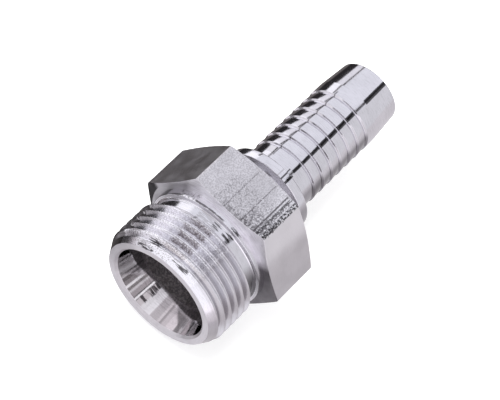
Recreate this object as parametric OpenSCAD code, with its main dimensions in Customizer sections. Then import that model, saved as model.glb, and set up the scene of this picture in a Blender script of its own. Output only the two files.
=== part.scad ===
// Straight hydraulic hose fitting: a turned steel insert, in millimetres.
// The axis is X: the thread end's face is at X = 0 and the hose tail points to +X.
// The part lies on one flat of its hexagon, and another flat faces up.

/* [Thread end] */
// Major diameter of the thread
thread_d = 30; // [28.5:0.5:31]
// Pitch of the thread
thread_pitch = 2; // [1:0.5:2]
// Length from the end face to the relief groove
thread_len = 11.4; // [11:0.2:16]
// Angle about the axis, from the lower flat, at which the thread starts
thread_start_deg = 167; // [0:1:359]
// Radial depth of the chamfer at the end face
end_chamfer = 1.7; // [1:0.1:1.8]
// Angle of that chamfer from the axis
end_chamfer_deg = 30; // [25:5:45]
// Radial depth of the relief groove below the thread's crest
relief_depth = 1.6; // [1.3:0.1:1.8]
// Length of the relief groove
relief_len = 3.4; // [2:0.2:5]
// Radius that blends the relief groove into the shoulder ring
relief_blend = 0.5; // [0.3:0.1:0.8]
// Radial step of the shoulder ring below the thread's crest
shoulder_step = 0.6; // [0.3:0.1:1]
// Length of the shoulder ring
shoulder_len = 1.8; // [1:0.2:4]

/* [Hexagon] */
// Width across the flats
hex_af = 32; // [32:1:41]
// Length along the axis
hex_len = 12.4; // [8:0.2:18]
// Angle of the conical chamfers on the corners, from the face
hex_chamfer_deg = 15; // [10:5:30]
// Width of the flat face that is left inside the flats
hex_face_inset = 0.15; // [0.05:0.05:0.5]
// Radial trim of the sharp corners
hex_corner_trim = 0.18; // [0.05:0.01:0.6]

/* [Crimp collar] */
// Diameter of the groove between the hexagon and the collar
groove_d = 16.2; // [15:0.2:17]
// Length of that groove
groove_len = 4.5; // [3:0.5:8]
// Diameter of the collar
collar_d = 21; // [20:0.5:24]
// Length of the collar
collar_len = 2.3; // [1.5:0.1:4]
// Chamfer on both edges of the collar
collar_chamfer = 0.25; // [0.1:0.05:0.5]
// Radius between the collar and the neck
collar_blend = 1; // [0.5:0.1:1.2]

/* [Hose tail] */
// Diameter over the barbs
tail_d = 16.4; // [16:0.1:18]
// Diameter of the smooth neck between the collar and the barbs
neck_d = 16.2; // [15.6:0.2:17]
// Distance from the collar to the first notch
neck_len = 5.2; // [3:0.2:8]
// Number of notches between the barbs
notch_count = 7; // [3:1:9]
// Distance from notch to notch
barb_pitch = 3; // [2.6:0.1:4]
// Radial fall of a barb along its long slope
barb_fall = 0.22; // [0.1:0.02:0.3]
// Further radial depth of a notch
notch_depth = 0.2; // [0.1:0.05:0.3]
// Length of the short slope into a notch
notch_slope_len = 0.5; // [0.3:0.05:0.8]
// Length of the steep step out of a notch
notch_step_len = 0.25; // [0.1:0.05:0.4]
// Length of the plain land behind the last notch
land_len = 3.3; // [1:0.1:6]
// Length of the tapered nose
nose_len = 7.7; // [5:0.1:12]
// Diameter at the end of the nose
nose_d = 15.1; // [14.4:0.1:15.4]
// Radius on the outer edge of the nose
nose_round = 0.3; // [0.2:0.1:0.8]

/* [Bore] */
// Diameter of the sealing cone in the plane of the end face
cone_mouth_d = 22.9; // [22.5:0.1:23.5]
// Depth of the 45 degree edge break at the cone's mouth
mouth_break = 0.5; // [0.2:0.1:0.6]
// Included angle of the sealing cone
cone_deg = 24; // [20:1:28]
// Diameter of the tube that the socket takes
tube_d = 20; // [18:0.5:20.5]
// Depth of the socket from the end face
socket_depth = 10.5; // [9.8:0.1:12]
// Diameter of the drilled chamber behind the socket
chamber_d = 16; // [14:0.5:17]
// Distance from the end of that chamber to the hexagon's rear face
chamber_back = 6; // [4:0.5:8]
// Angle of the drill point that ends the chamber
drill_deg = 118; // [90:2:140]
// Diameter of the bore through the hose tail
tail_bore_d = 12; // [10:0.5:12.5]
// Chamfer on the bore's mouth in the nose
nose_chamfer = 0.4; // [0.2:0.1:0.6]

/* [Hidden] */
$fn = 96;

// Clearance by which a cutting body passes a face
pass = 1;

// Radii
thread_r = thread_d / 2;
relief_r = thread_r - relief_depth;
shoulder_r = thread_r - shoulder_step;
hex_r = hex_af / 2;
hex_corner_r = hex_r / cos(30) - hex_corner_trim;
groove_r = groove_d / 2;
collar_r = collar_d / 2;
tail_r = tail_d / 2;
neck_r = neck_d / 2;
barb_low_r = tail_r - barb_fall;
nose_r = nose_d / 2;
cone_r = cone_mouth_d / 2;
break_r = cone_r - mouth_break * tan(cone_deg / 2);
tube_r = tube_d / 2;
chamber_r = chamber_d / 2;
tail_bore_r = tail_bore_d / 2;

// Stations along the axis
shoulder_x = thread_len + relief_len;
hex_x = shoulder_x + shoulder_len;
hex_end_x = hex_x + hex_len;
collar_x = hex_end_x + groove_len;
collar_end_x = collar_x + collar_len;
notch_x = collar_end_x + neck_len;
nose_x = notch_x + (notch_count - 1) * barb_pitch + land_len;
end_x = nose_x + nose_len;
end_chamfer_len = end_chamfer / tan(end_chamfer_deg);
cone_len = (cone_r - tube_r) / tan(cone_deg / 2);
chamber_depth = hex_end_x - chamber_back;
drill_len = (chamber_r - tail_bore_r) / tan(drill_deg / 2);

// Thread form: the basic 60 degree profile with a flat of an eighth of the pitch on its crest
flank_deg = 30;
groove_depth = 0.6134 * thread_pitch;
crest_half_gap = 7 / 16 * thread_pitch;
root_half_gap = crest_half_gap - groove_depth * tan(flank_deg);
// Height of the thread cutter above the crest, and its half width there
cutter_rise = 0.06 * thread_pitch;
cutter_half_gap = crest_half_gap + cutter_rise * tan(flank_deg);
steps_per_turn = 48;
cutter_start = -1.015 * thread_pitch;
cutter_end = thread_len + relief_len / 2;
cutter_steps = round((cutter_end - cutter_start) / thread_pitch * steps_per_turn);

// Points on an arc, as [axial, radial] pairs
function arc(centre, r, from, to, steps = 6) =
    [for (i = [0 : steps]) let (a = from + (to - from) * i / steps)
        centre + r * [cos(a), sin(a)]];

// One notch: the end of a barb's long slope, the notch's bottom at x, and the next barb's edge
function notch(x) = [
    [x - notch_slope_len, barb_low_r],
    [x, barb_low_r - notch_depth],
    [x + notch_step_len, tail_r]
];

// Outline of everything that is turned, from the end face to the nose
function turned_outline() = concat(
    [[0, 0], [0, thread_r - end_chamfer], [end_chamfer_len, thread_r], [thread_len, thread_r]],
    [[thread_len + (thread_r - relief_r) * tan(flank_deg), relief_r]],
    arc([shoulder_x - relief_blend, relief_r + relief_blend], relief_blend, -90, 0),
    [[shoulder_x, shoulder_r], [hex_x + hex_len / 2, shoulder_r]],
    [[hex_x + hex_len / 2, groove_r], [collar_x, groove_r]],
    [[collar_x, collar_r - collar_chamfer], [collar_x + collar_chamfer, collar_r]],
    [[collar_end_x - collar_chamfer, collar_r], [collar_end_x, collar_r - collar_chamfer]],
    arc([collar_end_x + collar_blend, neck_r + collar_blend], collar_blend, 180, 270),
    [for (i = [0 : notch_count - 1]) each notch(notch_x + i * barb_pitch)],
    [[nose_x, tail_r]],
    arc([end_x - nose_round, nose_r - nose_round], nose_round, 90, 0),
    [[end_x, 0]]
);

// Outline of the bore, open at both ends
function bore_outline() = [
    [-pass, 0],
    [-pass, break_r + mouth_break + pass],
    [mouth_break, break_r],
    [cone_len, tube_r],
    [socket_depth, tube_r],
    [socket_depth, chamber_r],
    [chamber_depth, chamber_r],
    [chamber_depth + drill_len, tail_bore_r],
    [end_x - nose_chamfer, tail_bore_r],
    [end_x + pass, tail_bore_r + nose_chamfer + pass],
    [end_x + pass, 0]
];

// Turns an outline of [axial, radial] points about the X axis
module turned(outline) {
    rotate([0, 90, 0])
        rotate_extrude()
            polygon([for (p = outline) [p.y, p.x]]);
}

// Hexagon with a flat below and a flat above, its corners chamfered at both ends
module hexagon() {
    face_r = hex_r - hex_face_inset;
    fall = (hex_corner_r - face_r) * tan(hex_chamfer_deg);
    intersection() {
        translate([hex_x, 0, 0])
            rotate([0, 90, 0])
                rotate([0, 0, 30])
                    cylinder(h = hex_len, r = hex_r / cos(30), $fn = 6);
        turned([
            [hex_x, 0],
            [hex_x, face_r],
            [hex_x + fall, hex_corner_r],
            [hex_end_x - fall, hex_corner_r],
            [hex_end_x, face_r],
            [hex_end_x, 0]
        ]);
    }
}

// Helical groove of a right-hand thread: one four-sided section at each step of the helix
module thread_cutter() {
    section = [
        [thread_r + cutter_rise, -cutter_half_gap],
        [thread_r - groove_depth, -root_half_gap],
        [thread_r - groove_depth, root_half_gap],
        [thread_r + cutter_rise, cutter_half_gap]
    ];
    points = [for (i = [0 : cutter_steps]) let (a = 360 * i / steps_per_turn)
        for (s = section)
            [s.x * cos(a), s.x * sin(a), cutter_start + thread_pitch * a / 360 + s.y]];
    sides = [for (i = [0 : cutter_steps - 1]) for (j = [0 : 3])
        let (k = (j + 1) % 4, low = 4 * i, high = 4 * (i + 1))
            each [[low + j, high + j, low + k], [low + k, high + j, high + k]]];
    last = 4 * cutter_steps;
    ends = [[0, 1, 2], [0, 2, 3], [last, last + 2, last + 1], [last, last + 3, last + 2]];
    rotate([0, 90, 0])
        rotate([0, 0, thread_start_deg])
            polyhedron(points, concat(sides, ends));
}

// The whole fitting: one turned, drilled and threaded piece
module fitting() {
    color([0.78, 0.77, 0.8])
        difference() {
            union() {
                turned(turned_outline());
                hexagon();
            }
            turned(bore_outline());
            thread_cutter();
        }
}

fitting();
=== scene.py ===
"""The looks of a straight hydraulic hose fitting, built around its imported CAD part.

The fitting is one piece of zinc-plated steel. Its axis is X, the thread end's face is at X = 0, the hose
tail points to +X and one flat of the hexagon faces up. Sizes here are in millimetres and angles in degrees;
meshes are made in metres. An angle about the axis is counted from the upper flat toward -Y.
"""

import logging
import math
from collections.abc import Iterator, Sequence
from contextlib import contextmanager
from dataclasses import dataclass, field
from enum import Enum
from functools import partial
from typing import Any

import bpy
from mathutils import Matrix, Vector

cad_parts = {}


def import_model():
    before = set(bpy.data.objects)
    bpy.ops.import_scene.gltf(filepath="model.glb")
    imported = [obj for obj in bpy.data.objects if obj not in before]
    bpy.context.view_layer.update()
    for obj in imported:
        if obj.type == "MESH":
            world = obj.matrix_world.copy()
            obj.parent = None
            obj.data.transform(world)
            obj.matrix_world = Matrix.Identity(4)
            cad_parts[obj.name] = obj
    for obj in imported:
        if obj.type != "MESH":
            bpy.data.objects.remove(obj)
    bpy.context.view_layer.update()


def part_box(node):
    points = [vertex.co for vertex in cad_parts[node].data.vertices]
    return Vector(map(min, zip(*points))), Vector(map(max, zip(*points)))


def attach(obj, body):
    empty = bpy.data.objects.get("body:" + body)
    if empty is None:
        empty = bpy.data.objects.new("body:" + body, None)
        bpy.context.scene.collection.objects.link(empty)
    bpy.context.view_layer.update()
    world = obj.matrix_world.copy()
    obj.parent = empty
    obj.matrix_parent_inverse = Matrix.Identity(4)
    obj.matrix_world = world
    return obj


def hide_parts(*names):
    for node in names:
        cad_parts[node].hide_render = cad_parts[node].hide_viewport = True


MM = 0.001
LOG = logging.getLogger("fitting")
Colour = tuple[float, float, float]


class Joining(Enum):
    """How one closed solid is combined with another."""

    ADD = "UNION"
    CUT = "DIFFERENCE"
    KEEP_COMMON = "INTERSECT"


class Zone(Enum):
    """Stretches of the surface that share a finish; the value is the material's place in the mesh."""

    TURNED = 0
    THREAD = 1
    FLAT = 2
    FACED = 3
    END_FACE = 4
    CONE = 5
    SOCKET = 6
    CHAMBER = 7
    RELIEF = 8


@dataclass(frozen=True)
class Corner:
    """One corner of a turned outline, in millimetres.

    Attributes:
        x: Distance from the thread end's face.
        r: Radius there.
        ease: Radius that rounds the corner off, or 0 to leave it sharp.
    """

    x: float
    r: float
    ease: float = 0.0


# Shaping


@contextmanager
def shaping(piece: bpy.types.Object) -> Iterator[None]:
    """Holds a piece in edit mode, with all its vertices selected at first.

    Args:
        piece: The mesh to be edited; it becomes the only selected object.
    """
    bpy.ops.object.select_all(action="DESELECT")
    piece.select_set(True)
    bpy.context.view_layer.objects.active = piece
    bpy.ops.object.mode_set(mode="EDIT")
    bpy.ops.mesh.select_mode(type="VERT")
    bpy.ops.mesh.select_all(action="SELECT")
    try:
        yield
    finally:
        bpy.ops.object.mode_set(mode="OBJECT")


def eased(corners: Sequence[Corner], steps: int = 4) -> list[tuple[float, float]]:
    """Rounds an outline's corners off.

    Args:
        corners: The outline's corners in order; the first and last stay sharp.
        steps: Number of chords in each rounding.

    Returns:
        The rounded outline as (x, r) pairs.
    """
    points: list[tuple[float, float]] = []
    for index, corner in enumerate(corners):
        here = Vector((corner.x, corner.r))
        if not corner.ease or index in (0, len(corners) - 1):
            points.append(here.to_tuple())
            continue
        back = (Vector((corners[index - 1].x, corners[index - 1].r)) - here).normalized()
        ahead = (Vector((corners[index + 1].x, corners[index + 1].r)) - here).normalized()
        half = back.angle(ahead) / 2
        centre = here + (back + ahead).normalized() * (corner.ease / math.sin(half))
        first = here + back * (corner.ease / math.tan(half)) - centre
        last = here + ahead * (corner.ease / math.tan(half)) - centre
        sweep = math.atan2(first.x * last.y - first.y * last.x, first.dot(last))
        for step in range(steps + 1):
            points.append((centre + Matrix.Rotation(sweep * step / steps, 2) @ first).to_tuple())
    return points


def drawn_line(name: str, points: Sequence[tuple[float, float]]) -> bpy.types.Object:
    """Draws an outline in the upper half of the XZ plane by extruding one vertex.

    Args:
        name: Name of the new piece.
        points: The outline as (x, r) pairs.

    Returns:
        The outline as a mesh of edges.
    """
    bpy.ops.object.select_all(action="DESELECT")
    bpy.ops.mesh.primitive_plane_add(size=MM)
    line = bpy.context.object
    line.name = name
    with shaping(line):
        bpy.ops.mesh.merge(type="CENTER")
        bpy.ops.transform.translate(value=(points[0][0] * MM, 0, points[0][1] * MM))
        for here, there in zip(points, points[1:]):
            move = ((there[0] - here[0]) * MM, 0, (there[1] - here[1]) * MM)
            bpy.ops.mesh.extrude_region_move(TRANSFORM_OT_translate={"value": move})
    return line


def turned(name: str, corners: Sequence[Corner], steps: int = 256) -> bpy.types.Object:
    """Turns an outline that starts and ends on the axis into a closed solid.

    Args:
        name: Name of the new piece.
        corners: The outline's corners.
        steps: Number of steps round the axis.

    Returns:
        The closed solid.
    """
    solid = drawn_line(name, eased(corners))
    with shaping(solid):
        bpy.ops.mesh.spin(steps=steps, angle=math.tau, center=(0, 0, 0), axis=(1, 0, 0))
        bpy.ops.mesh.select_all(action="SELECT")
        bpy.ops.mesh.remove_doubles(threshold=0.0001 * MM)
        bpy.ops.mesh.normals_make_consistent(inside=False)
    return solid


def finish_with(piece: bpy.types.Object, kind: str, **settings: Any) -> None:
    """Adds a modifier to a piece and applies it.

    Args:
        piece: The mesh to be changed.
        kind: The modifier's type.
        **settings: Values of the modifier's properties.
    """
    bpy.ops.object.select_all(action="DESELECT")
    piece.select_set(True)
    bpy.context.view_layer.objects.active = piece
    modifier = piece.modifiers.new(kind.title(), kind)
    for key, value in settings.items():
        setattr(modifier, key, value)
    bpy.ops.object.modifier_apply(modifier=modifier.name)


def combine(piece: bpy.types.Object, other: bpy.types.Object, joining: Joining) -> None:
    """Combines two closed solids into the first and removes the second.

    Args:
        piece: The solid that is kept.
        other: The solid that is added, cut out or intersected with.
        joining: Which of these it is.
    """
    finish_with(piece, "BOOLEAN", object=other, operation=joining.value, solver="EXACT")
    bpy.data.objects.remove(other)


# The fitting


@dataclass
class ThreadEnd:
    """The stud: a right-hand metric thread with its end chamfer, relief groove and shoulder ring.

    The ring runs on into the hexagon. An ease is the radius that rounds an edge off.
    """

    radius: float = 15.0
    pitch: float = 2.0
    length: float = 11.4
    end_chamfer: float = 1.7
    end_chamfer_angle: float = 30.0
    face_ease: float = 0.12
    chamfer_ease: float = 0.15
    start_turn: float = 167.0
    lead_in: float = 2.03
    depth_share: float = 0.6134
    gap_share: float = 7 / 16
    flank: float = 30.0
    root_ease: float = 0.14
    crest_ease: float = 0.09
    cutter_rise: float = 0.1
    cutter_spread: float = 2.2
    steps_per_turn: int = 128
    runout_slope: float = 30.0
    runout_ease: float = 0.08
    relief_radius: float = 13.4
    relief_length: float = 3.4
    relief_ease: float = 0.25
    relief_blend: float = 0.5
    shoulder_radius: float = 14.4
    shoulder_ease: float = 0.15

    @property
    def shoulder_x(self) -> float:
        """Where the relief groove meets the shoulder ring."""
        return self.length + self.relief_length

    def corners(self) -> list[Corner]:
        """Returns the outline from the axis at the end face to the shoulder ring."""
        drop = (self.radius - self.relief_radius) * math.tan(math.radians(self.runout_slope))
        chamfer_end = self.end_chamfer / math.tan(math.radians(self.end_chamfer_angle))
        return [
            Corner(0, 0),
            Corner(0, self.radius - self.end_chamfer, self.face_ease),
            Corner(chamfer_end, self.radius, self.chamfer_ease),
            Corner(self.length, self.radius, self.runout_ease),
            Corner(self.length + drop, self.relief_radius, self.relief_ease),
            Corner(self.shoulder_x, self.relief_radius, self.relief_blend),
            Corner(self.shoulder_x, self.shoulder_radius, self.shoulder_ease),
        ]

    def groove_section(self) -> list[tuple[float, float]]:
        """Returns half the groove's section, from its root to above the crest, with both edges eased."""
        depth = self.depth_share * self.pitch
        crest_gap = self.gap_share * self.pitch
        slope = math.tan(math.radians(self.flank))
        root = Corner(crest_gap - depth * slope, self.radius - depth, self.root_ease)
        edge = Corner(crest_gap, self.radius, self.crest_ease)
        above = Corner(crest_gap + self.cutter_spread * self.cutter_rise, self.radius + self.cutter_rise)
        return eased([Corner(0, self.radius - depth), root, edge, above], steps=3)[1:]

    def groove(self) -> bpy.types.Object:
        """Makes the helical groove as a closed solid, to be cut out of the stud.

        Returns:
            The groove's solid, from before the end face into the relief groove.
        """
        half = self.groove_section()
        section = [(-x, r) for x, r in reversed(half)] + half
        cutter = drawn_line("thread groove", section)
        with shaping(cutter):
            bpy.ops.mesh.edge_face_add()
            bpy.ops.transform.translate(value=(-self.lead_in * MM, 0, 0))
            bpy.ops.transform.rotate(
                value=math.radians(180.0 - self.start_turn), orient_axis="X", center_override=(0, 0, 0)
            )
        turns = math.ceil((self.length + self.relief_length / 2 + self.lead_in) / self.pitch)
        finish_with(
            cutter,
            "SCREW",
            axis="X",
            angle=math.tau,
            screw_offset=self.pitch * MM,
            iterations=turns,
            steps=self.steps_per_turn,
            render_steps=self.steps_per_turn,
        )
        with shaping(cutter):
            bpy.ops.mesh.select_all(action="DESELECT")
            bpy.ops.mesh.select_non_manifold()
            bpy.ops.mesh.edge_face_add()
            bpy.ops.mesh.select_all(action="SELECT")
            bpy.ops.mesh.normals_make_consistent(inside=False)
        return cutter


@dataclass
class Hexagon:
    """The spanner hexagon, left from the bar, with conical chamfers at both ends."""

    start: float = 16.6
    length: float = 12.4
    half_width: float = 16.0
    face_inset: float = 0.15
    corner_trim: float = 0.18
    chamfer: float = 15.0
    edge_ease: float = 0.12

    @property
    def end(self) -> float:
        """Where the hexagon's rear face is."""
        return self.start + self.length

    @property
    def bar_radius(self) -> float:
        """Radius over the bar's sharp corners."""
        return self.half_width / math.cos(math.radians(30))

    @property
    def corner_radius(self) -> float:
        """Radius over the trimmed corners."""
        return self.bar_radius - self.corner_trim

    def build(self) -> bpy.types.Object:
        """Makes the hexagon as a closed solid.

        Returns:
            The chamfered hexagon with softly rounded edges.
        """
        bpy.ops.object.select_all(action="DESELECT")
        bpy.ops.mesh.primitive_cylinder_add(
            vertices=6,
            radius=self.bar_radius * MM,
            depth=self.length * MM,
            location=((self.start + self.length / 2) * MM, 0, 0),
            rotation=(0, math.radians(90), 0),
        )
        bar = bpy.context.object
        bar.name = "hexagon bar"
        bpy.ops.object.transform_apply(location=True, rotation=True, scale=True)
        face = self.half_width - self.face_inset
        fall = (self.corner_radius - face) * math.tan(math.radians(self.chamfer))
        cones = [
            Corner(self.start, 0),
            Corner(self.start, face),
            Corner(self.start + fall, self.corner_radius),
            Corner(self.end - fall, self.corner_radius),
            Corner(self.end, face),
            Corner(self.end, 0),
        ]
        combine(bar, turned("chamfer cones", cones), Joining.KEEP_COMMON)
        finish_with(
            bar,
            "BEVEL",
            width=self.edge_ease * MM,
            segments=3,
            limit_method="ANGLE",
            angle_limit=math.radians(30),
        )
        return bar


@dataclass
class CrimpCollar:
    """The groove that holds the ferrule's lip, and the collar behind it."""

    start: float = 29.0
    root_under_hexagon: float = 6.2
    groove_radius: float = 8.1
    groove_length: float = 4.5
    groove_ease: float = 0.15
    collar_radius: float = 10.5
    collar_length: float = 2.3
    front_ease: float = 0.25
    rear_ease: float = 0.3

    @property
    def end(self) -> float:
        """Where the collar's rear face is."""
        return self.start + self.groove_length + self.collar_length

    def corners(self, shoulder_radius: float) -> list[Corner]:
        """Returns the outline from inside the hexagon to the collar's rear face.

        Args:
            shoulder_radius: Radius of the shoulder ring, which runs on inside the hexagon.
        """
        inside = self.start - self.root_under_hexagon
        collar_x = self.start + self.groove_length
        return [
            Corner(inside, shoulder_radius),
            Corner(inside, self.groove_radius),
            Corner(collar_x, self.groove_radius, self.groove_ease),
            Corner(collar_x, self.collar_radius, self.front_ease),
            Corner(self.end, self.collar_radius, self.rear_ease),
        ]


@dataclass
class HoseTail:
    """The neck, the barbs with their notches, the plain land and the tapered nose."""

    start: float = 35.8
    neck_radius: float = 8.1
    neck_length: float = 5.2
    neck_ease: float = 1.0
    barb_radius: float = 8.2
    barb_ease: float = 0.06
    barb_low_radius: float = 7.98
    barb_low_ease: float = 0.2
    notch_radius: float = 7.78
    notch_ease: float = 0.1
    notches: int = 7
    pitch: float = 3.0
    short_slope: float = 0.5
    step: float = 0.25
    land: float = 3.3
    land_ease: float = 0.5
    nose: float = 7.7
    nose_radius: float = 7.55
    nose_ease: float = 0.28

    @property
    def end(self) -> float:
        """The fitting's whole length."""
        return self.start + self.neck_length + (self.notches - 1) * self.pitch + self.land + self.nose

    def corners(self) -> list[Corner]:
        """Returns the outline from the collar's rear face to the axis at the nose."""
        found = [Corner(self.start, self.neck_radius, self.neck_ease)]
        for index in range(self.notches):
            x = self.start + self.neck_length + index * self.pitch
            found += [
                Corner(x - self.short_slope, self.barb_low_radius, self.barb_low_ease),
                Corner(x, self.notch_radius, self.notch_ease),
                Corner(x + self.step, self.barb_radius, self.barb_ease),
            ]
        found += [
            Corner(self.end - self.nose, self.barb_radius, self.land_ease),
            Corner(self.end, self.nose_radius, self.nose_ease),
            Corner(self.end, 0),
        ]
        return found


@dataclass
class Bore:
    """The sealing cone, the tube socket, the drilled chamber and the bore through the tail."""

    mouth_radius: float = 11.45
    mouth_break: float = 0.5
    break_ease: float = 0.1
    cone_half_angle: float = 12.0
    cone_ease: float = 0.3
    socket_radius: float = 10.0
    socket_depth: float = 10.5
    socket_ease: float = 0.12
    chamber_radius: float = 8.0
    chamber_depth: float = 23.0
    chamber_ease: float = 0.2
    drill_half_angle: float = 59.0
    drill_ease: float = 0.3
    tail_radius: float = 6.0
    end: float = 70.0
    end_chamfer: float = 0.4
    end_ease: float = 0.1
    overrun: float = 1.0
    steps: int = 224

    @property
    def cone_length(self) -> float:
        """Depth at which the cone has narrowed to the socket."""
        return (self.mouth_radius - self.socket_radius) / math.tan(math.radians(self.cone_half_angle))

    def radius_at(self, x: float) -> float:
        """Returns the bore's radius at a distance from the end face.

        Args:
            x: The distance, in millimetres.
        """
        if x < self.cone_length:
            cone = self.mouth_radius - x * math.tan(math.radians(self.cone_half_angle))
            return cone + max(0.0, self.mouth_break - x)
        if x < self.socket_depth:
            return self.socket_radius
        taper = math.tan(math.radians(self.drill_half_angle))
        narrowing = self.chamber_radius - (x - self.chamber_depth) * taper
        return max(self.tail_radius, min(self.chamber_radius, narrowing))

    def build(self) -> bpy.types.Object:
        """Makes the bore as a closed solid that runs past both ends, to be cut out.

        Returns:
            The bore's solid.
        """
        break_radius = self.mouth_radius - self.mouth_break * math.tan(math.radians(self.cone_half_angle))
        drill = (self.chamber_radius - self.tail_radius) / math.tan(math.radians(self.drill_half_angle))
        corners = [
            Corner(-self.overrun, 0),
            Corner(-self.overrun, break_radius + self.mouth_break + self.overrun),
            Corner(self.mouth_break, break_radius, self.break_ease),
            Corner(self.cone_length, self.socket_radius, self.cone_ease),
            Corner(self.socket_depth, self.socket_radius, self.socket_ease),
            Corner(self.socket_depth, self.chamber_radius, self.chamber_ease),
            Corner(self.chamber_depth, self.chamber_radius, self.drill_ease),
            Corner(self.chamber_depth + drill, self.tail_radius, self.drill_ease),
            Corner(self.end - self.end_chamfer, self.tail_radius, self.end_ease),
            Corner(self.end + self.overrun, self.tail_radius + self.end_chamfer + self.overrun),
            Corner(self.end + self.overrun, 0),
        ]
        return turned("bore", corners, self.steps)


# Finishes

# How many times longer a turning mark is round the axis than along it
STREAK_LENGTH = 8.0

# What a mark's ragged edges follow (scale, layers, roughness), and how far that takes them
WANDER = (1.3, 3.0, 0.7)
WANDER_ACROSS = 3.0
WANDER_ALONG = -0.3

# Flecks: layers and roughness of their pattern, the level above which they lie, how far that rises with
# the share that stays bare, and their soft edge below and above it
FLECK_CLOUD = (2.0, 0.6)
FLECK_LEVEL = 0.3
FLECK_RISE = 0.4
FLECK_EDGE = (0.03, 0.05)

# Soft edge of a mark that is limited to some radii, in millimetres
RADIUS_EDGE = 0.12

# Drift of the plating's tone: scale and layers of its pattern, and the levels that it darkens between
TONE_CLOUD = (0.22, 3.0)
TONE_LEVELS = (0.35, 0.65)

# The levels of their pattern that the turning marks darken between
LINE_LEVELS = (0.45, 0.7)

# How the plating's roughness varies: scale of its pattern, its levels, and the shares they stand for
MATT_SCALE = 0.35
MATT_LEVELS = (0.3, 0.7)
MATT_SHARES = (0.85, 1.15)


class Recipe:
    """Fills one node tree, a node at a time; a value may be a number or another node's output."""

    def __init__(self, tree: bpy.types.NodeTree) -> None:
        """Empties the tree.

        Args:
            tree: The node tree of a material or of the world.
        """
        self.tree = tree
        self.clouds: dict[tuple[str, float, float, float], Any] = {}
        tree.nodes.clear()

    def add(self, kind: str, values: dict[Any, Any] | None = None, **settings: Any) -> bpy.types.Node:
        """Adds a node.

        Args:
            kind: The node's type, without the word Node.
            values: What each input is set to or linked from, by its name or number.
            **settings: Values of the node's own properties.

        Returns:
            The new node.
        """
        node = self.tree.nodes.new(kind)
        for key, value in settings.items():
            setattr(node, key, value)
        for key, value in (values or {}).items():
            if isinstance(value, bpy.types.NodeSocket):
                self.tree.links.new(value, node.inputs[key])
            else:
                node.inputs[key].default_value = value
        return node

    def sum(self, operation: str, *values: Any) -> bpy.types.NodeSocket:
        """Returns the result of one arithmetic operation.

        Args:
            operation: Its name, such as MULTIPLY.
            *values: One to three numbers or outputs.
        """
        return self.add("ShaderNodeMath", dict(enumerate(values)), operation=operation).outputs[0]

    def fade(self, value: Any, low: float, high: float, start: float = 0.0, end: float = 1.0) -> Any:
        """Returns a value's smooth rise from start to end, as it goes from low to high.

        Args:
            value: The output that is followed.
            low: Where the rise starts.
            high: Where it ends.
            start: Result below low.
            end: Result above high.
        """
        node = self.add(
            "ShaderNodeMapRange",
            {"Value": value, "From Min": low, "From Max": high, "To Min": start, "To Max": end},
            interpolation_type="SMOOTHSTEP",
        )
        return node.outputs["Result"]

    def within(self, value: Any, low: float, high: float, soft: float) -> Any:
        """Returns 1 where a value lies between two limits, with soft ends.

        Args:
            value: The output that is followed.
            low: Lower limit.
            high: Upper limit.
            soft: Width over which the result falls to 0 outside each limit.
        """
        rise = self.fade(value, low - soft, low)
        fall = self.fade(value, high, high + soft, 1.0, 0.0)
        return self.sum("MULTIPLY", rise, fall)

    def blend(self, share: Any, first: Any, second: Any) -> bpy.types.NodeSocket:
        """Returns a mix of two colours.

        Args:
            share: How much of the second colour there is.
            first: The first colour or output.
            second: The second colour or output.
        """
        values = {"Factor": share}
        for key, colour in ((6, first), (7, second)):
            values[key] = (*colour, 1.0) if isinstance(colour, tuple) else colour
        return self.add("ShaderNodeMix", values, data_type="RGBA").outputs[2]

    def cloud(self, place: Any, scale: float, detail: float = 2.0, rough: float = 0.5) -> Any:
        """Returns a cloud pattern from 0 to 1; one that has been asked for before is used again.

        Args:
            place: The position that the pattern follows, in millimetres.
            scale: Number of clouds in a millimetre.
            detail: Number of finer layers.
            rough: Strength of the finer layers.
        """
        key = (place.node.name, scale, detail, rough)
        if key not in self.clouds:
            values = {"Vector": place, "Scale": scale, "Detail": detail, "Roughness": rough}
            self.clouds[key] = self.add("ShaderNodeTexNoise", values).outputs["Fac"]
        return self.clouds[key]


@dataclass(frozen=True)
class Position:
    """A point of the fitting's surface, as outputs for a pattern to follow."""

    point: Any
    streaked: Any
    x: Any
    y: Any
    radius: Any
    turn: Any
    under: Any

    @classmethod
    def of(cls, recipe: Recipe) -> "Position":
        """Reads the point in millimetres, its radius, and its angles about the axis in degrees.

        Args:
            recipe: The material that reads it.

        Returns:
            The point's outputs; the streaked one runs slower round the axis than along it.
        """
        at = recipe.add("ShaderNodeTexCoord").outputs["Object"]
        point = recipe.add("ShaderNodeVectorMath", {0: at, "Scale": 1 / MM}, operation="SCALE").outputs[0]
        x, y, z = recipe.add("ShaderNodeSeparateXYZ", {0: point}).outputs
        square = recipe.sum("ADD", recipe.sum("MULTIPLY", y, y), recipe.sum("MULTIPLY", z, z))
        radius = recipe.sum("SQRT", square)
        back_y = recipe.sum("MULTIPLY", y, -1.0)
        turn = recipe.sum("DEGREES", recipe.sum("ARCTAN2", back_y, z))
        under = recipe.sum("DEGREES", recipe.sum("ARCTAN2", y, recipe.sum("MULTIPLY", z, -1.0)))
        slow = [recipe.sum("MULTIPLY", side, 1 / STREAK_LENGTH) for side in (y, z)]
        along = recipe.sum("ADD", x, radius)
        streaked = recipe.add("ShaderNodeCombineXYZ", {0: along, 1: slow[0], 2: slow[1]}).outputs[0]
        return cls(point, streaked, x, y, radius, turn, under)


class Across(Enum):
    """How a mark's width is measured; the value is the position's part that it follows."""

    TURN = "turn"
    UNDER = "under"
    SIDE = "y"


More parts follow.
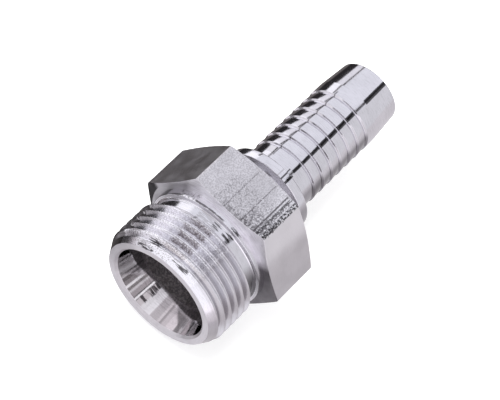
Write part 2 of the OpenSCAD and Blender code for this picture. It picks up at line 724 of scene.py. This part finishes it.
@dataclass(frozen=True)
class Mark:
    """A stretch of the plating that is stained, worn, scratched or pitted, or that has light or shade painted
    on.

    Attributes:
        across: Its limits about the axis in degrees, or sideways from the axis in millimetres.
        along: Its limits from the end face, in millimetres.
        tone: Its colour.
        share: How much of that colour there is at its middle.
        soft: Widths of its soft edges, across and along.
        ragged: How far its edges wander across; along the axis they wander a tenth of it.
        flecks: Share of it that stays bare between flecks, or 0 where it is whole.
        fleck_scale: Number of flecks in a millimetre.
        streaky: Whether its flecks run round the axis, as turning marks do.
        radii: Its limits of radius, or None at any radius.
        measured: How its width is measured.
    """

    across: tuple[float, float]
    along: tuple[float, float]
    tone: Colour
    share: float
    soft: tuple[float, float] = (1.0, 0.15)
    ragged: float = 0.0
    flecks: float = 0.0
    fleck_scale: float = 2.0
    streaky: bool = False
    radii: tuple[float, float] | None = None
    measured: Across = Across.TURN

    def share_at(self, recipe: Recipe, at: Position) -> Any:
        """Returns how much of the mark's colour there is over the surface.

        Args:
            recipe: The material.
            at: The point on the surface.
        """
        width, length = getattr(at, self.measured.value), at.x
        if self.ragged:
            drift = recipe.sum("SUBTRACT", recipe.cloud(at.point, *WANDER), 0.5)
            width = recipe.sum("MULTIPLY_ADD", drift, WANDER_ACROSS * self.ragged, width)
            length = recipe.sum("MULTIPLY_ADD", drift, WANDER_ALONG * self.ragged, length)
        found = recipe.within(width, *self.across, self.soft[0])
        found = recipe.sum("MULTIPLY", found, recipe.within(length, *self.along, self.soft[1]))
        if self.radii:
            found = recipe.sum("MULTIPLY", found, recipe.within(at.radius, *self.radii, RADIUS_EDGE))
        if self.flecks:
            place = at.streaked if self.streaky else at.point
            pattern = recipe.cloud(place, self.fleck_scale, *FLECK_CLOUD)
            level = FLECK_LEVEL + FLECK_RISE * self.flecks
            fleck = recipe.fade(pattern, level - FLECK_EDGE[0], level + FLECK_EDGE[1])
            found = recipe.sum("MULTIPLY", found, fleck)
        return recipe.sum("MULTIPLY", found, self.share)


@dataclass(frozen=True)
class Zinc:
    """Bright zinc plating on steel, as one stretch of the surface shows it.

    Attributes:
        name: Name of the finish.
        tint: Colour of the plating.
        roughness: How matt it is.
        cloud: How much its tone drifts over a few millimetres.
        grain: Height of its fine grain, in millimetres.
        grain_scale: Number of grains in a millimetre.
        ring: Height of the turning marks, in millimetres.
        ring_scale: Number of turning marks in a millimetre.
        ring_shade: How much darker the turning marks are.
        marks: Its stains, wear and painted light and shade, in the order in which they lie on the plating.
    """

    name: str
    tint: Colour = (0.80, 0.785, 0.83)
    roughness: float = 0.16
    cloud: float = 0.06
    grain: float = 0.001
    grain_scale: float = 4.0
    ring: float = 0.001
    ring_scale: float = 5.0
    ring_shade: float = 0.08
    marks: tuple[Mark, ...] = ()

    def material(self) -> bpy.types.Material:
        """Builds the finish.

        Returns:
            A material that reads only the fitting's own coordinates.
        """
        made = bpy.data.materials.new(self.name)
        made.use_nodes = True
        recipe = Recipe(made.node_tree)
        at = Position.of(recipe)
        lines = recipe.cloud(at.streaked, self.ring_scale)
        drift = recipe.fade(recipe.cloud(at.point, *TONE_CLOUD), *TONE_LEVELS, 0.0, self.cloud)
        worn = recipe.sum("ADD", drift, recipe.fade(lines, *LINE_LEVELS, 0.0, self.ring_shade))
        colour = recipe.blend(worn, self.tint, (0.0, 0.0, 0.0))
        for mark in self.marks:
            colour = recipe.blend(mark.share_at(recipe, at), colour, mark.tone)
        grain = recipe.sum("MULTIPLY", recipe.cloud(at.point, self.grain_scale), self.grain)
        height = recipe.sum("MULTIPLY_ADD", lines, self.ring, grain)
        bump = recipe.add("ShaderNodeBump", {"Height": height, "Distance": MM})
        limits = [share * self.roughness for share in MATT_SHARES]
        matt = recipe.fade(recipe.cloud(at.point, MATT_SCALE), *MATT_LEVELS, *limits)
        values = {"Base Color": colour, "Metallic": 1.0, "Roughness": matt, "Normal": bump.outputs[0]}
        shader = recipe.add("ShaderNodeBsdfPrincipled", values)
        recipe.add("ShaderNodeOutputMaterial", {"Surface": shader.outputs[0]})
        return made


BLACK: Colour = (0.03, 0.027, 0.03)
DARK: Colour = (0.12, 0.11, 0.12)
BROWN: Colour = (0.3, 0.265, 0.275)
GREY: Colour = (0.45, 0.43, 0.45)
PALE: Colour = (0.95, 0.94, 0.97)

# A ragged mark round the axis, one on the upper flat, and one in the cone, counted from its lowest line
scuff = partial(Mark, ragged=2, streaky=True)
flat_mark = partial(Mark, measured=Across.SIDE)
cone_mark = partial(Mark, measured=Across.UNDER)

THREAD_MARKS = (
    # Painted shade that deepens toward the lower side
    Mark((68, 120), (0, 11.4), GREY, 0.7, soft=(22, 0.3)),
    # Painted shade low in the grooves, grime on the flanks near the top, and grey and pale flecks
    Mark((20, 120), (1.4, 11.4), GREY, 0.3, soft=(6, 0.3), radii=(13.7, 14.35)),
    Mark(
        (-16, 1), (1.8, 11.4), BROWN, 0.9, soft=(4, 0.3), ragged=3, flecks=0.12, fleck_scale=1.4,
        radii=(14.1, 15.0),
    ),
    Mark((-48, -18), (1.8, 11.4), GREY, 0.3, soft=(4, 0.2), flecks=0.55, fleck_scale=4.5, streaky=True),
    Mark((-18, 24), (1.8, 11.4), GREY, 0.5, soft=(4, 0.2), flecks=0.5, fleck_scale=4.5, streaky=True),
    Mark((-50, 22), (2.8, 11.4), PALE, 0.6, soft=(3, 0.2), flecks=0.5, fleck_scale=2.6),
    # Painted highlights on the crests at the edge of the light, and a painted black reflection beyond it
    Mark((-120, -63), (2.9, 11.4), BLACK, 1.0, soft=(4, 0.3), ragged=3.5),
    Mark((-120, -66), (0, 3.0), BLACK, 0.85, soft=(4, 0.3), ragged=2.5),
    Mark((-100, -60), (0, 11.4), GREY, 0.2, soft=(3, 0.3), flecks=0.6, fleck_scale=3.0, streaky=True),
    Mark((-64, -48), (0.8, 11.4), PALE, 0.8, soft=(2, 0.2), flecks=0.45, fleck_scale=1.8, radii=(14.5, 15.2)),
    # Nicks in the end chamfer
    Mark((-50, 22), (0.2, 2.8), PALE, 0.5, soft=(3, 0.2), flecks=0.45, fleck_scale=6.0),
    scuff((-3, 11), (0.9, 1.5), BLACK, 0.9, soft=(3, 0.2), flecks=0.4, fleck_scale=3.0),
    scuff((-31, -19), (1.6, 2.4), BLACK, 0.9, soft=(3, 0.2), flecks=0.45, fleck_scale=4.0),
    scuff((-39, -24), (0.1, 0.7), BLACK, 0.9, soft=(3, 0.2), flecks=0.45, fleck_scale=4.0),
    Mark((-64, -8), (0.1, 2.8), DARK, 0.6, soft=(3, 0.2), flecks=0.7, fleck_scale=3.6),
)

RELIEF_MARKS = (
    # Painted shade along the thread's run-out, black on the lower side
    Mark((-50, 100), (11.3, 12.2), GREY, 0.45, soft=(5, 0.3)),
    Mark((45, 100), (11.2, 12.3), DARK, 0.7, soft=(12, 0.2), flecks=0.35, fleck_scale=1.4, streaky=True),
    Mark((66, 100), (10.9, 12.0), BLACK, 0.85, soft=(3, 0.2)),
    # Burrs and tool marks on the groove's floor
    Mark((-18, 2), (12.4, 14.7), GREY, 0.6, soft=(3, 0.2), flecks=0.4, fleck_scale=4.5, streaky=True),
    scuff((-2, 4), (13.1, 14.4), BLACK, 0.8, soft=(2, 0.2), flecks=0.42, fleck_scale=2.2),
    scuff((10, 18), (13.1, 14.4), BLACK, 0.9, soft=(2, 0.2), flecks=0.38, fleck_scale=2.2),
    Mark((-19, -17), (11.3, 12.4), DARK, 0.6, soft=(0.6, 0.2)),
    # Painted shade on the groove's lower side
    Mark((66, 110), (12.4, 14.8), BLACK, 0.85, soft=(24, 0.3)),
    # Painted dark reflection, brown and flecked, on the +Y side
    Mark((-120, -62), (12.0, 14.8), BROWN, 0.8, soft=(4, 0.2), ragged=3, flecks=0.25, streaky=True),
    # Marks on the shoulder ring
    Mark((-26, 1), (14.95, 15.3), DARK, 0.9, soft=(3, 0.1), ragged=1.5, flecks=0.25, streaky=True),
    Mark((12, 20), (15.1, 15.6), DARK, 0.8, soft=(2, 0.1), ragged=3, flecks=0.2, streaky=True),
    Mark((-46, -28), (14.8, 16.6), DARK, 0.7, soft=(3, 0.1), flecks=0.6, fleck_scale=2.4),
    # Painted black reflection on the +Y side, and painted shade on the lower side
    Mark((-120, -64), (14.8, 16.6), BLACK, 1.0, soft=(6, 0.1), ragged=2),
    Mark((60, 110), (14.8, 16.6), DARK, 0.35, soft=(20, 0.2)),
)

FACED_MARKS = (
    # Painted shade on both sides
    Mark((-120, -42), (16.5, 30), DARK, 0.5, soft=(8, 0.3)),
    Mark((62, 130), (16.5, 30), DARK, 0.55, soft=(16, 0.3)),
    # Painted shade on the lower sides of the front face, black on the +Y side, and a painted highlight near
    # the top, with grey flecks
    Mark((62, 130), (16.5, 17.4), DARK, 0.85, soft=(8, 0.1), ragged=1),
    Mark((-130, -83), (16.5, 17.4), BLACK, 1.0, soft=(6, 0.1), ragged=1, radii=(15.9, 19)),
    Mark((-22, 18), (16.5, 17.2), PALE, 0.9, soft=(8, 0.1)),
    Mark((-42, 30), (16.5, 17.2), GREY, 0.25, soft=(5, 0.1), flecks=0.55, fleck_scale=3.0, streaky=True),
)

FLAT_MARKS = (
    # Painted light at the upper edge of the flat on the -Y side, and painted shade lower down
    Mark((26, 44), (16.6, 29), PALE, 0.5, soft=(14, 0.2)),
    Mark((64, 96), (16.6, 29), GREY, 0.4, soft=(14, 0.2)),
    # Fine pits of the drawn bar on the upper flat, deeper toward the shoulder
    flat_mark((-9.3, 9.3), (16.6, 29), GREY, 0.6, soft=(0.2, 0.2), flecks=0.48, fleck_scale=3.2),
    flat_mark((-9, 4), (16.6, 23), DARK, 0.45, soft=(0.5, 3), ragged=1, flecks=0.6, fleck_scale=2.8),
    flat_mark((-9, -3), (16.6, 20.5), DARK, 0.65, soft=(0.5, 1.5), ragged=0.8, flecks=0.48, fleck_scale=2.6),
    flat_mark((-9, 2), (16.6, 17.6), DARK, 0.6, soft=(0.5, 0.6), ragged=0.8, flecks=0.45, fleck_scale=2.6),
    # Scratches along it
    flat_mark((1.35, 1.45), (17, 28), DARK, 0.6, soft=(0.12, 0.5), ragged=0.04, flecks=0.35),
    flat_mark((-3.15, -3.05), (17, 28), DARK, 0.7, soft=(0.12, 0.5), ragged=0.04, flecks=0.3),
    flat_mark((-6.55, -6.35), (17, 28), DARK, 0.9, soft=(0.14, 0.5), ragged=0.05, flecks=0.15),
    flat_mark((-7.5, -7.1), (17, 28.4), BLACK, 0.8, soft=(0.15, 0.4), ragged=0.12, flecks=0.3),
    flat_mark((-7.9, -7.6), (17.5, 27), DARK, 0.8, soft=(0.15, 0.4), ragged=0.15, flecks=0.4),
    flat_mark((-9.2, -8.3), (17.4, 28.4), BLACK, 0.9, soft=(0.15, 0.4), ragged=0.15, flecks=0.42),
)

TURNED_MARKS = (
    # Painted shade on the lower side
    Mark((64, 130), (29, 44), DARK, 0.55, soft=(16, 0.5)),
    Mark((70, 130), (40.4, 59.2), DARK, 0.75, soft=(16, 0.3), radii=(7.6, 8.16)),
    # A grey band on the neck's +Y side
    Mark((-44, -27), (38.6, 40.6), GREY, 0.4, soft=(1, 0.1)),
    # Painted reflection of a dark gap, as a broad strip along the tail
    Mark((13.5, 20), (46.8, 59), BLACK, 0.9, soft=(0.8, 0.5), ragged=0.5, radii=(7.96, 8.3)),
    Mark((13.5, 20.5), (62.6, 69.6), BLACK, 0.9, soft=(0.8, 0.3), ragged=0.4),
    Mark((14.5, 19.3), (38.2, 46.9), BLACK, 0.85, soft=(0.8, 0.2), ragged=0.5, radii=(7.96, 8.3)),
    # A fine dark line along the tail
    Mark((-26, -24.2), (38.5, 60), DARK, 0.7, soft=(0.5, 0.5), ragged=0.2),
    # Scores across the collar and behind it
    Mark((4.5, 5.5), (33.6, 35.7), GREY, 0.6, soft=(0.6, 0.1)),
    Mark((9.8, 11.2), (33.6, 38), BLACK, 0.85, soft=(0.6, 0.2)),
    Mark((16, 18.5), (33.6, 35.8), BLACK, 0.9, soft=(0.6, 0.1)),
    Mark((19.3, 21.6), (35.8, 37.4), BLACK, 0.9, soft=(0.6, 0.1)),
    # Painted shade in the groove, between the hexagon and the collar
    Mark((-13, -2), (33.0, 33.4), DARK, 0.8, soft=(1, 0.1)),
)

CONE_MARKS = (
    # Two black spots
    cone_mark((11, 19), (3.9, 6.4), BLACK, 0.95, soft=(1.5, 0.5), ragged=2, flecks=0.25, streaky=True),
    cone_mark((12, 19), (1.8, 2.3), BLACK, 0.9, soft=(1.5, 0.2), ragged=2),
    # Painted shade and dark reflections, most of them toward the socket
    cone_mark((-90, 40), (3.6, 6.6), GREY, 0.3, soft=(1, 0.8), flecks=0.5, fleck_scale=5.0, streaky=True),
    cone_mark((-53, -34), (0.5, 6.6), BROWN, 0.4, soft=(1, 0.1)),
    cone_mark((-33, 11), (4.2, 6.7), GREY, 0.3, soft=(1, 1.0)),
    cone_mark((54, 125), (0.5, 6.6), BLACK, 0.45, soft=(3, 0.2), ragged=1),
    cone_mark((44, 54), (4.4, 6.6), DARK, 0.5, soft=(2, 0.4), ragged=1),
    cone_mark((-90, -53), (0.5, 6.6), DARK, 0.15, soft=(4, 0.2), ragged=1),
    # Painted highlight where the cone meets the socket
    cone_mark((-90, 125), (6.45, 6.95), PALE, 0.5, soft=(1, 0.15)),
)

END_MARKS = (
    # Painted shade on the +Y side
    Mark((-90, -64), (-0.1, 0.5), DARK, 0.36, soft=(28, 0.1)),
)

SOCKET_MARKS = (
    # Rough drilled surface with an oily film
    Mark((-180, 180), (6.8, 70), DARK, 0.7, flecks=0.45, fleck_scale=1.8),
    Mark((-180, 180), (6.8, 70), BROWN, 0.8, flecks=0.6, fleck_scale=3.0),
)

FINISHES: dict[Zone, Zinc] = {
    Zone.TURNED: Zinc("zinc on turned steel", roughness=0.12, marks=TURNED_MARKS),
    Zone.THREAD: Zinc("zinc on the thread", roughness=0.2, marks=THREAD_MARKS),
    Zone.FLAT: Zinc(
        "zinc on drawn flats", (0.75, 0.73, 0.76), 0.34, cloud=0.1, grain=0.01, grain_scale=2.2, ring=0.0,
        ring_shade=0.04, marks=FLAT_MARKS,
    ),
    Zone.FACED: Zinc("zinc on faced ends", (0.86, 0.845, 0.88), 0.5, marks=FACED_MARKS),
    Zone.END_FACE: Zinc("zinc on the end face", (0.67, 0.645, 0.67), 0.38, marks=END_MARKS),
    Zone.CONE: Zinc("zinc on the sealing cone", (0.815, 0.8, 0.81), 0.06, ring=0.0004, marks=CONE_MARKS),
    Zone.SOCKET: Zinc(
        "zinc in the tube socket", (0.5, 0.47, 0.48), 0.6, cloud=0.3, grain=0.02, marks=SOCKET_MARKS
    ),
    Zone.CHAMBER: Zinc("drilled steel", (0.42, 0.39, 0.39), 0.6, cloud=0.4, grain=0.03, marks=SOCKET_MARKS),
    Zone.RELIEF: Zinc("zinc on the relief groove", roughness=0.16, marks=RELIEF_MARKS),
}


# The whole piece


@dataclass
class Fitting:
    """The whole fitting: one turned, drilled and threaded piece.

    An edge of less than smooth_below degrees is shaded smooth. A slack is how far past its limit a face may
    lie and still belong there. A face's normal leans more than facing on an end, and less than upright on
    a flat.
    """

    stud: ThreadEnd = field(default_factory=ThreadEnd)
    hexagon: Hexagon = field(default_factory=Hexagon)
    collar: CrimpCollar = field(default_factory=CrimpCollar)
    tail: HoseTail = field(default_factory=HoseTail)
    bore: Bore = field(default_factory=Bore)
    smooth_below: float = 35.0
    wall_slack: float = 0.12
    step_slack: float = 0.1
    face_slack: float = 0.1
    hexagon_slack: float = 0.01
    flat_slack: float = 0.3
    facing: float = 0.9
    upright: float = 0.3

    def build(self) -> bpy.types.Object:
        """Turns the body, adds the hexagon, and cuts the thread and the bore.

        Returns:
            The finished mesh, at its place in the part's own frame.
        """
        outline = self.stud.corners() + self.collar.corners(self.stud.shoulder_radius) + self.tail.corners()
        body = turned("hose_fitting", outline)
        combine(body, self.hexagon.build(), Joining.ADD)
        combine(body, self.stud.groove(), Joining.CUT)
        combine(body, self.bore.build(), Joining.CUT)
        with shaping(body):
            bpy.ops.mesh.remove_doubles(threshold=0.001 * MM)
            bpy.ops.mesh.dissolve_degenerate(threshold=0.0001 * MM)
        bpy.ops.object.shade_smooth_by_angle(angle=math.radians(self.smooth_below))
        finish_with(body, "WEIGHTED_NORMAL", weight=100, keep_sharp=True)
        self.dress(body)
        return body

    def zone_of(self, x: float, radius: float, lean: float) -> Zone:
        """Returns the finish that a face takes.

        Args:
            x: The face's distance from the end face, in millimetres.
            radius: Its corners' mean distance from the axis, in millimetres.
            lean: How far its normal leans along the axis, from -1 to 1.
        """
        step, hexagon = self.bore.socket_depth, self.hexagon
        if radius < self.bore.radius_at(x) + self.wall_slack and x < self.bore.end:
            if x < self.bore.cone_length:
                return Zone.CONE if x > self.bore.mouth_break else Zone.END_FACE
            return Zone.SOCKET if x < step - self.step_slack / 2 else Zone.CHAMBER
        if step - self.step_slack < x < step + self.step_slack and radius < self.bore.socket_radius:
            return Zone.CHAMBER
        if lean < -self.facing and x < self.face_slack:
            return Zone.END_FACE
        if x < self.stud.length:
            return Zone.THREAD
        if hexagon.start - self.hexagon_slack < x < hexagon.end + self.hexagon_slack:
            if radius > hexagon.half_width - self.flat_slack and abs(lean) < self.upright:
                return Zone.FLAT
            if radius > self.stud.shoulder_radius:
                return Zone.FACED
        if abs(lean) > self.facing:
            return Zone.FACED
        return Zone.RELIEF if x < hexagon.start else Zone.TURNED

    def dress(self, body: bpy.types.Object) -> None:
        """Gives each stretch of the surface its finish.

        Args:
            body: The finished mesh.
        """
        body.data.materials.clear()
        for zone in Zone:
            body.data.materials.append(FINISHES[zone].material())
        radii = [math.hypot(vertex.co.y, vertex.co.z) / MM for vertex in body.data.vertices]
        for face in body.data.polygons:
            radius = sum(radii[index] for index in face.vertices) / len(face.vertices)
            face.material_index = self.zone_of(face.center.x / MM, radius, face.normal.x).value


# The studio


@dataclass(frozen=True)
class Panel:
    """A soft panel of the studio, seen as a patch of the directions round the fitting.

    Attributes:
        turns: Its limits about the fitting's axis, in degrees.
        leans: Its limits along the axis, from -90 at the thread end to 90 at the tail.
        tone: Its brightness and tint.
        soft: Width of its soft edge, in degrees.
    """

    turns: tuple[float, float]
    leans: tuple[float, float]
    tone: Colour
    soft: float = 4.0


@dataclass
class Studio:
    """The white floor, the soft light and the camera.

    Each panel lies over those before it. Sizes of the floor and the lamp, the lamp's place and the camera's
    clip are in metres. The glow is added to the floor where the camera sees it, so that it is white there.
    """

    wall: Colour = (0.84, 0.82, 0.86)
    panels: tuple[Panel, ...] = (
        # The ceiling and the lower side of the room, which the hose tail shows
        Panel((-60, 35), (0, 90), (0.9, 0.91, 0.97), 3),
        Panel((35, 180), (0, 90), (0.76, 0.76, 0.79), 4),
        Panel((100, 180), (0, 90), (0.72, 0.695, 0.72), 8),
        # The window, with a glazing bar, and the dark gaps beside it
        Panel((-93, -62), (-10, 60), (0.95, 0.94, 0.99), 2),
        Panel((-93, -62), (-10, 32), (1.25, 1.25, 1.3), 2),
        Panel((-68, -63.5), (30, 75), (0.06, 0.055, 0.06), 1),
        Panel((-98, 110), (-45, -24), (1.15, 1.15, 1.2), 3),
        Panel((22.5, 29.5), (24, 75), (0.06, 0.055, 0.06), 1),
        Panel((-131, -96), (-28, 90), (0.025, 0.023, 0.025), 3),
        Panel((-131, -92), (37, 90), (0.025, 0.023, 0.025), 2),
        Panel((-170, -131), (-13, 90), (0.16, 0.145, 0.145), 5),
        # What the short slopes of the notches show
        Panel((40, 180), (62, 90), (0.2, 0.18, 0.19), 4),
        Panel((-95, -40), (62, 90), (0.2, 0.18, 0.19), 4),
        # What the thread's flanks show
        Panel((-135, -122), (-50, -28), (0.25, 0.235, 0.25), 5),
        Panel((-124, -104), (-66, -48), (1.0, 0.98, 1.05), 4),
        Panel((-180, 180), (-90, -67), (1.1, 1.08, 1.12), 4),
        Panel((100, 165), (-85, -40), (0.8, 0.77, 0.8), 5),
        # What reaches the sealing cone by way of its other side
        Panel((140, 180), (-40, -27), (0.8, 0.77, 0.8), 3),
        Panel((32, 72), (-21, -9), (1.9, 1.8, 1.9), 2),
        Panel((75, 96), (-21, -12), (1.6, 1.52, 1.6), 3),
        Panel((97, 118), (-24, -9), (1.0, 0.95, 1.0), 4),
        Panel((118, 152), (-24, -9), (0.74, 0.71, 0.75), 4),
        Panel((155, 180), (-26, -11), (1.2, 1.2, 1.26), 4),
        Panel((-180, -158), (-26, -11), (1.1, 1.1, 1.15), 1.5),
        Panel((-157, -130), (-25, -11), (0.9, 0.86, 0.9), 1),
        Panel((-126.5, -118), (-24, -11), (1.4, 1.4, 1.45), 1),
        Panel((-113, -93), (-23.5, -11), (0.55, 0.51, 0.54), 1),
        Panel((-90, -83), (-22, -11), (0.9, 0.88, 0.92), 1),
        Panel((-81, -69), (-21, -11), (0.32, 0.3, 0.31), 1),
        Panel((-66, -57), (-21, -11), (1.4, 1.4, 1.45), 1),
        Panel((-55, -38), (-19, -11), (0.42, 0.39, 0.41), 1),
        Panel((-37, -19), (-17, -9), (0.24, 0.22, 0.23), 1),
    )
    floor_size: float = 3.0
    paper: Colour = (0.8, 0.8, 0.8)
    glow: float = 0.4
    lamp_energy: float = 4.0
    lamp_size: float = 0.5
    lamp_place: tuple[float, float, float] = (0.0, 0.25, 0.6)
    lamp_tilt: float = -22.0
    target: tuple[float, float, float] = (30.53, 0.84, 0.0)
    distance: float = 514.57
    azimuth: float = -165.31
    elevation: float = 60.74
    roll: float = 29.30
    lens: float = 176.7
    sensor_width: float = 36.0
    clip: tuple[float, float] = (0.01, 10.0)

    def hang_panels(self) -> None:
        """Makes the world: white to the camera and on the floor, and panels in the reflections."""
        world = bpy.data.worlds.new("studio")
        bpy.context.scene.world = world
        world.use_nodes = True
        recipe = Recipe(world.node_tree)
        direction = recipe.add("ShaderNodeTexCoord").outputs["Generated"]
        x, y, z = recipe.add("ShaderNodeSeparateXYZ", {0: direction}).outputs
        turn = recipe.sum("DEGREES", recipe.sum("ARCTAN2", recipe.sum("MULTIPLY", y, -1.0), z))
        lean = recipe.sum("DEGREES", recipe.sum("ARCSINE", x))
        tone: Any = self.wall
        for panel in self.panels:
            across = recipe.within(turn, *panel.turns, panel.soft)
            along = recipe.within(lean, *panel.leans, panel.soft)
            tone = recipe.blend(recipe.sum("MULTIPLY", across, along), tone, panel.tone)
        rays = recipe.add("ShaderNodeLightPath").outputs
        mirrored = recipe.sum("MAXIMUM", rays["Is Glossy Ray"], rays["Is Transmission Ray"])
        colour = recipe.blend(mirrored, (1.0, 1.0, 1.0), tone)
        light = recipe.add("ShaderNodeBackground", {"Color": colour, "Strength": 1.0})
        recipe.add("ShaderNodeOutputWorld", {"Surface": light.outputs[0]})

    def lay_floor(self, level: float) -> None:
        """Lays the floor, which is white in the picture apart from the fitting's shadow.

        Args:
            level: Height of the floor, in metres.
        """
        bpy.ops.object.select_all(action="DESELECT")
        bpy.ops.mesh.primitive_plane_add(size=self.floor_size, location=(0, 0, level))
        floor = bpy.context.object
        floor.name = "floor"
        floor.visible_glossy = False
        paper = bpy.data.materials.new("white paper")
        paper.use_nodes = True
        recipe = Recipe(paper.node_tree)
        lit = recipe.add("ShaderNodeBsdfDiffuse", {"Color": (*self.paper, 1.0)})
        seen = recipe.add("ShaderNodeLightPath").outputs["Is Camera Ray"]
        strength = recipe.sum("MULTIPLY", seen, self.glow)
        glow = recipe.add("ShaderNodeEmission", {"Color": (1.0, 1.0, 1.0, 1.0), "Strength": strength})
        both = recipe.add("ShaderNodeAddShader", {0: lit.outputs[0], 1: glow.outputs[0]})
        recipe.add("ShaderNodeOutputMaterial", {"Surface": both.outputs[0]})
        floor.data.materials.append(paper)

    def hang_lamp(self) -> None:
        """Hangs one soft lamp over the fitting."""
        bpy.ops.object.light_add(type="AREA", location=self.lamp_place)
        lamp = bpy.context.object
        lamp.name = "soft lamp"
        lamp.data.size = self.lamp_size
        lamp.data.energy = self.lamp_energy
        lamp.rotation_euler = (math.radians(self.lamp_tilt), 0, 0)
        lamp.visible_glossy = False

    def stand_camera(self) -> None:
        """Stands the camera where the photograph was taken from."""
        azimuth, elevation = math.radians(self.azimuth), math.radians(self.elevation)
        flat = math.cos(elevation)
        back = Vector((flat * math.cos(azimuth), flat * math.sin(azimuth), math.sin(elevation)))
        bpy.ops.object.camera_add(location=(Vector(self.target) + back * self.distance) * MM)
        camera = bpy.context.object
        camera.name = "camera"
        camera.rotation_mode = "QUATERNION"
        level = (-back).to_track_quat("-Z", "Y").to_matrix()
        roll = Matrix.Rotation(math.radians(self.roll), 3, "Z")
        camera.rotation_quaternion = (level @ roll).to_quaternion()
        camera.data.lens = self.lens
        camera.data.sensor_width = self.sensor_width
        camera.data.clip_start, camera.data.clip_end = self.clip
        bpy.context.scene.camera = camera

    def set_up(self, level: float) -> None:
        """Sets the whole studio up.

        Args:
            level: Height of the floor, in metres.
        """
        self.hang_panels()
        self.lay_floor(level)
        self.hang_lamp()
        self.stand_camera()
        bpy.context.scene.view_settings.view_transform = "Standard"


def main() -> None:
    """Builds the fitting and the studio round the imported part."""
    logging.basicConfig(level=logging.INFO, format="%(name)s: %(message)s")
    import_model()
    piece = Fitting().build()
    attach(piece, "root")
    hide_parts("fitting")
    LOG.info("%s: %d faces", piece.name, len(piece.data.polygons))
    Studio().set_up(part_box("fitting")[0].z)


if __name__ == "__main__":
    main()
